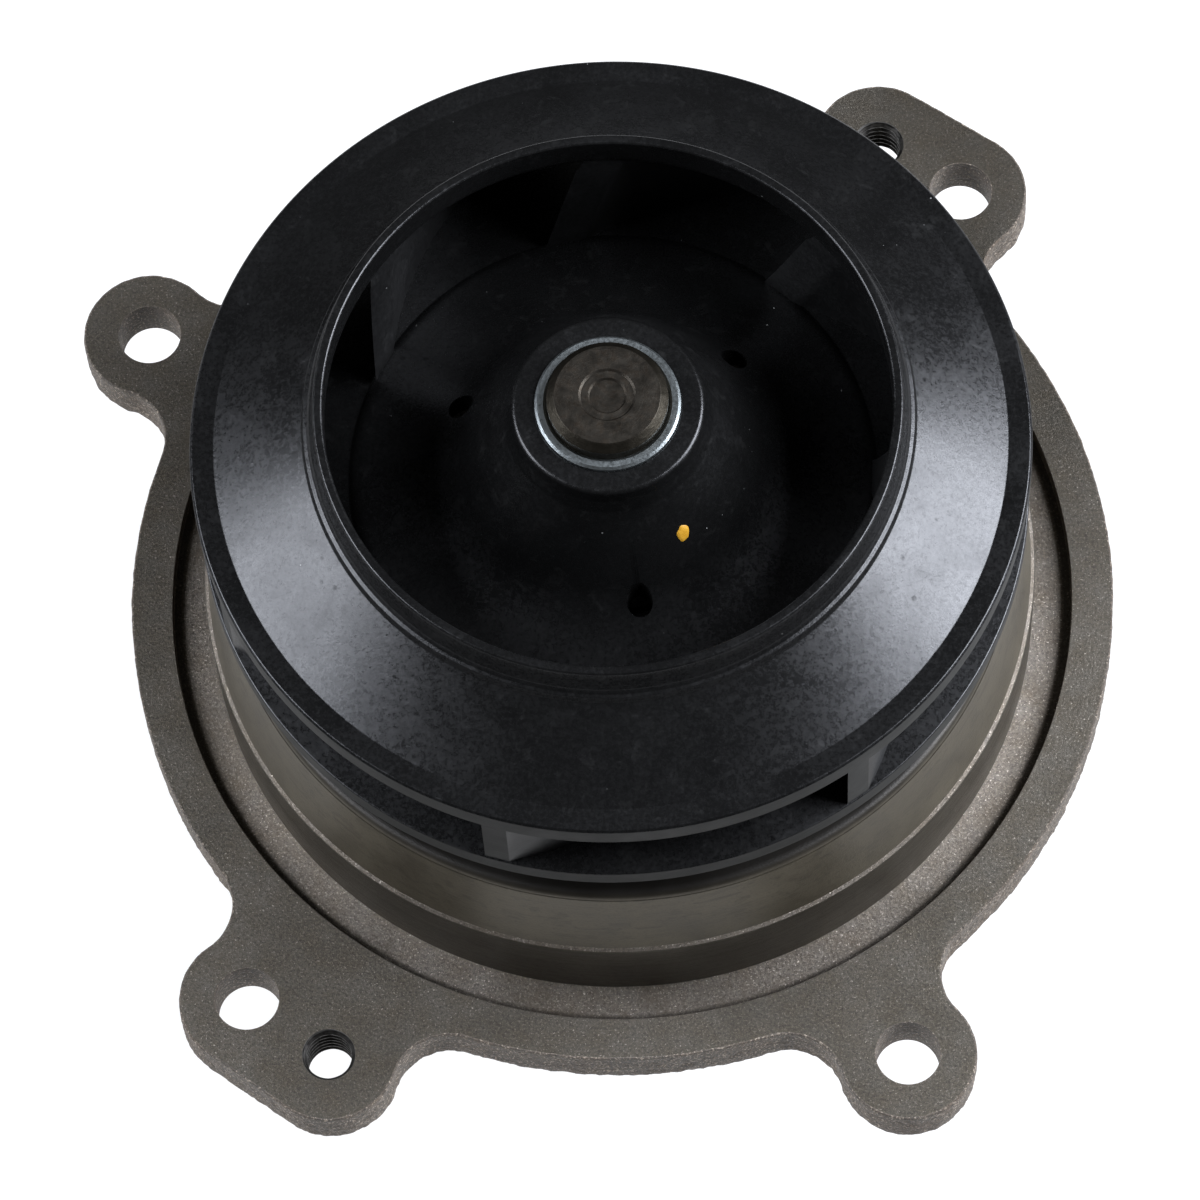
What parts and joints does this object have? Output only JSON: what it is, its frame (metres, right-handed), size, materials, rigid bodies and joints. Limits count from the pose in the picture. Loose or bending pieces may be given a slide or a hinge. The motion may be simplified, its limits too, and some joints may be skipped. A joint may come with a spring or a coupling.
{
  "type": "water pump",
  "caption": "Engine coolant pump: closed plastic impeller on a bearing shaft in a cast drum housing with a lugged mounting flange, driven by a ribbed belt pulley.",
  "frame": {"origin": "centre of the flange's mounting face on the shaft axis", "axes": "+Z along the shaft towards the impeller's inlet; the doubled lugs lie at about 57 and 234 degrees from +X towards +Y"},
  "size_m": [0.1814, 0.1951, 0.1626],
  "materials": {
    "cast_iron": "sand cast skin with turned and ground faces",
    "impeller_plastic": "semi-gloss moulded black plastic, finely scratched",
    "shaft_steel": "ground, faced end with turning marks",
    "insert_steel": "bright turned steel",
    "bearing_steel": "ground and polished",
    "cage_brass": "machined",
    "seal_rubber": "moulded, matt",
    "seal_steel": "drawn stainless sheet",
    "carbon": "lapped carbon",
    "ceramic": "lapped silicon carbide",
    "hub_steel": "phosphated",
    "pulley_paint": "black coated",
    "bolt_zinc": "zinc plated"
  },
  "bodies": {
    "stator": {"housing": "cast_iron", "bearing_outer_ring": "bearing_steel", "bearing_seal_front": "seal_rubber", "bearing_seal_rear": "seal_rubber", "retaining_ring": "hub_steel", "seal_cup": "seal_steel", "seal_bellows": "seal_rubber", "seal_spring": "seal_steel", "carbon_ring": "carbon"},
    "rotor": {"shaft": "shaft_steel", "slinger": "seal_steel", "mating_ring": "ceramic", "mating_boot": "seal_rubber", "impeller_disc": "impeller_plastic", "impeller_shroud": "impeller_plastic", "impeller_insert": "insert_steel", "drive_hub": "hub_steel", "pulley": "pulley_paint", "pulley_bolts": "bolt_zinc"},
    "ball_train": {"bearing_balls": "bearing_steel", "ball_cage": "cage_brass"},
    "roller_train": {"bearing_rollers": "bearing_steel", "roller_cage": "cage_brass"}
  },
  "joints": [
    {"name": "shaft_spin", "type": "hinge", "parent": "stator", "child": "rotor", "pos_m": [0, 0, 0], "axis": [0, 0, 1], "continuous": true},
    {"name": "ball_orbit", "type": "hinge", "parent": "stator", "child": "ball_train", "pos_m": [0, 0, -0.036], "axis": [0, 0, 1], "continuous": true},
    {"name": "roller_orbit", "type": "hinge", "parent": "stator", "child": "roller_train", "pos_m": [0, 0, -0.008], "axis": [0, 0, 1], "continuous": true}
  ],
  "couplings": [
    {"joint": "ball_orbit", "follows": "shaft_spin", "ratio": 0.3743},
    {"joint": "roller_orbit", "follows": "shaft_spin", "ratio": 0.3925}
  ]
}
